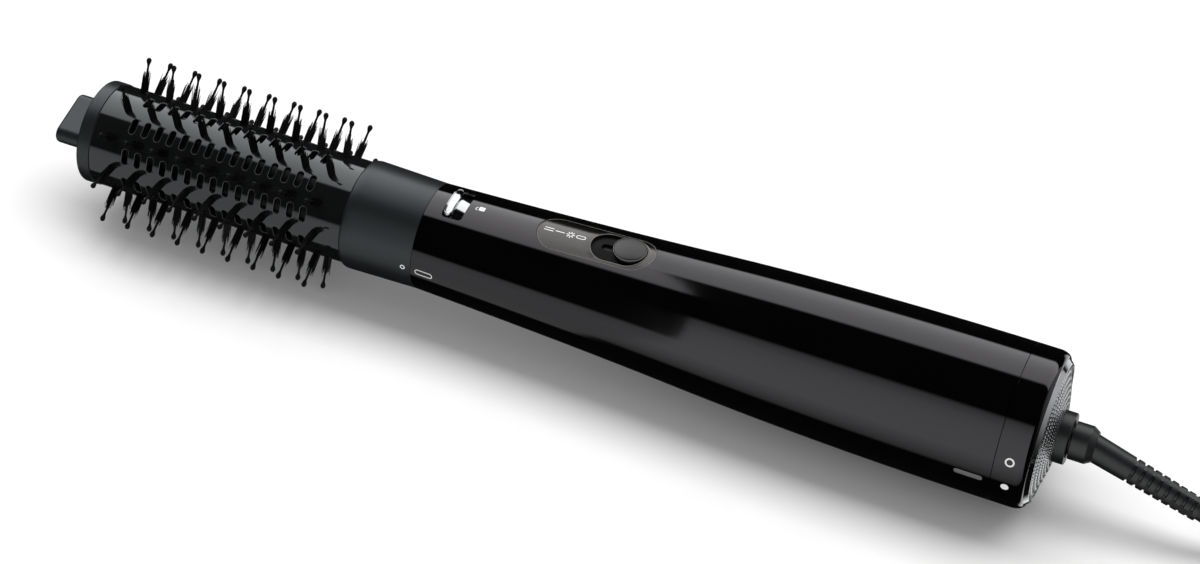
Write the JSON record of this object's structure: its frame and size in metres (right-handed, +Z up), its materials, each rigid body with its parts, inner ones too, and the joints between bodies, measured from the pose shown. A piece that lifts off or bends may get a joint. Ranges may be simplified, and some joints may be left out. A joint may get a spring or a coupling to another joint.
{
  "type": "hot air brush",
  "caption": "Hot air brush: vented round bristle brush that pulls off a tapered gloss handle with slide switch, release slider, twist-off rear filter and swivelling mains lead.",
  "frame": {"origin": "centre of the brush and handle in plan, on the surface that it lies on, without the mains lead", "axes": "+X along the brush towards the lead, +Z up on the side with the controls, +Y to the left of the handle seen from its rear"},
  "size_m": [0.5106, 0.0952, 0.0575],
  "materials": {
    "satin_slate": "satin moulded plastic with a fine grain",
    "gloss_black": "high gloss black lacquer",
    "barrel_black": "mirror-gloss coated aluminium tube",
    "bristle_black": "soft nylon with a slight sheen",
    "chrome": "polished chrome plating",
    "plate_bronze": "dark bronze-grey gloss",
    "knob_black": "black, semi-gloss dome",
    "grille_steel": "fine perforated metal",
    "inner_black": "plain moulded plastic",
    "steel": "plain steel",
    "mica": "mica sheet",
    "heater_wire": "nickel-chrome wire",
    "board_green": "solder mask",
    "white_nylon": "natural nylon",
    "wire_red": "insulated wire",
    "lint_mesh": "fine woven screen",
    "boss_black": "satin black",
    "cord_black": "soft matt cord sheath",
    "pin_nickel": "nickel-plated brass"
  },
  "bodies": {
    "lead": {"swivel_barrel": "boss_black", "swivel_clip": "steel", "strain_relief": "boss_black", "cord_run": "cord_black", "cord_coil": "cord_black", "cord_tail": "cord_black", "coil_tie": "cord_black", "plug_relief": "cord_black", "plug_body": "cord_black", "plug_pins": "pin_nickel"},
    "handle": {"front_socket": "inner_black", "handle_sleeve": "gloss_black", "switch_plate": "plate_bronze", "slide_switch": "inner_black", "circuit_board": "board_green", "board_parts": "inner_black", "latch_pin": "steel", "release_spring": "steel", "heater_boards": "mica", "heater_coil": "heater_wire", "heater_sleeve": "mica", "thermostat": "heater_wire", "thermal_fuse": "mica", "duct_upper": "inner_black", "duct_lower": "inner_black", "motor_mount": "inner_black", "motor_can": "steel", "motor_end_cap": "white_nylon", "wiring": "wire_red", "bayonet_seat": "inner_black", "seat_screws": "steel", "cord_boss": "boss_black"},
    "brush": {"tip_grip": "satin_slate", "tip_ring": "satin_slate", "tip_screw": "steel", "brush_barrel": "barrel_black", "air_guide": "inner_black", "bristle_row_01": "bristle_black", "bristle_row_02": "bristle_black", "bristle_row_03": "bristle_black", "bristle_row_04": "bristle_black", "bristle_row_05": "bristle_black", "bristle_row_06": "bristle_black", "bristle_row_07": "bristle_black", "bristle_row_08": "bristle_black", "bristle_row_09": "bristle_black", "bristle_row_10": "bristle_black", "brush_collar": "satin_slate"},
    "fan": {"impeller": "white_nylon", "motor_shaft": "steel"},
    "release": {"release_button": "chrome"},
    "latch": {"latch_lever": "steel"},
    "switch": {"switch_knob": "knob_black", "switch_contact": "white_nylon"},
    "filter_inner": {"lint_frame": "inner_black", "lint_screen": "lint_mesh"},
    "filter_cap": {"filter_ring": "gloss_black", "filter_rim": "chrome", "filter_grille": "grille_steel"}
  },
  "joints": [
    {"name": "cord_swivel", "type": "hinge", "parent": "lead", "child": "handle", "pos_m": [0.1678, 0, 0.02875], "axis": [1, 0, 0], "continuous": true},
    {"name": "brush_pull", "type": "slide", "parent": "handle", "child": "brush", "axis": [-1, 0, 0], "range_m": [0, 0.025]},
    {"name": "release_slide", "type": "slide", "parent": "handle", "child": "release", "axis": [1, 0, 0], "range_m": [0, 0.003], "stiffness_N_per_m": 300, "springref_m": -0.002, "deforming": ["release_spring"]},
    {"name": "latch_rock", "type": "hinge", "parent": "handle", "child": "latch", "pos_m": [-0.0357, 0, 0.04335], "axis": [0, -1, 0], "range_deg": [0, 2.2]},
    {"name": "switch_slide", "type": "slide", "parent": "handle", "child": "switch", "axis": [-1, 0, 0], "range_m": [0, 0.0075]},
    {"name": "fan_spin", "type": "hinge", "parent": "handle", "child": "fan", "pos_m": [0.0813, 0, 0.02875], "axis": [1, 0, 0], "continuous": true},
    {"name": "filter_pull", "type": "slide", "parent": "handle", "child": "filter_inner", "axis": [1, 0, 0], "range_m": [0, 0.015]},
    {"name": "filter_twist", "type": "hinge", "parent": "filter_inner", "child": "filter_cap", "pos_m": [0.1553, 0, 0.02875], "axis": [1, 0, 0], "range_deg": [0, 22]}
  ],
  "couplings": [
    {"joint": "latch_rock", "follows": "release_slide", "rad_per_m": 12.671}
  ]
}
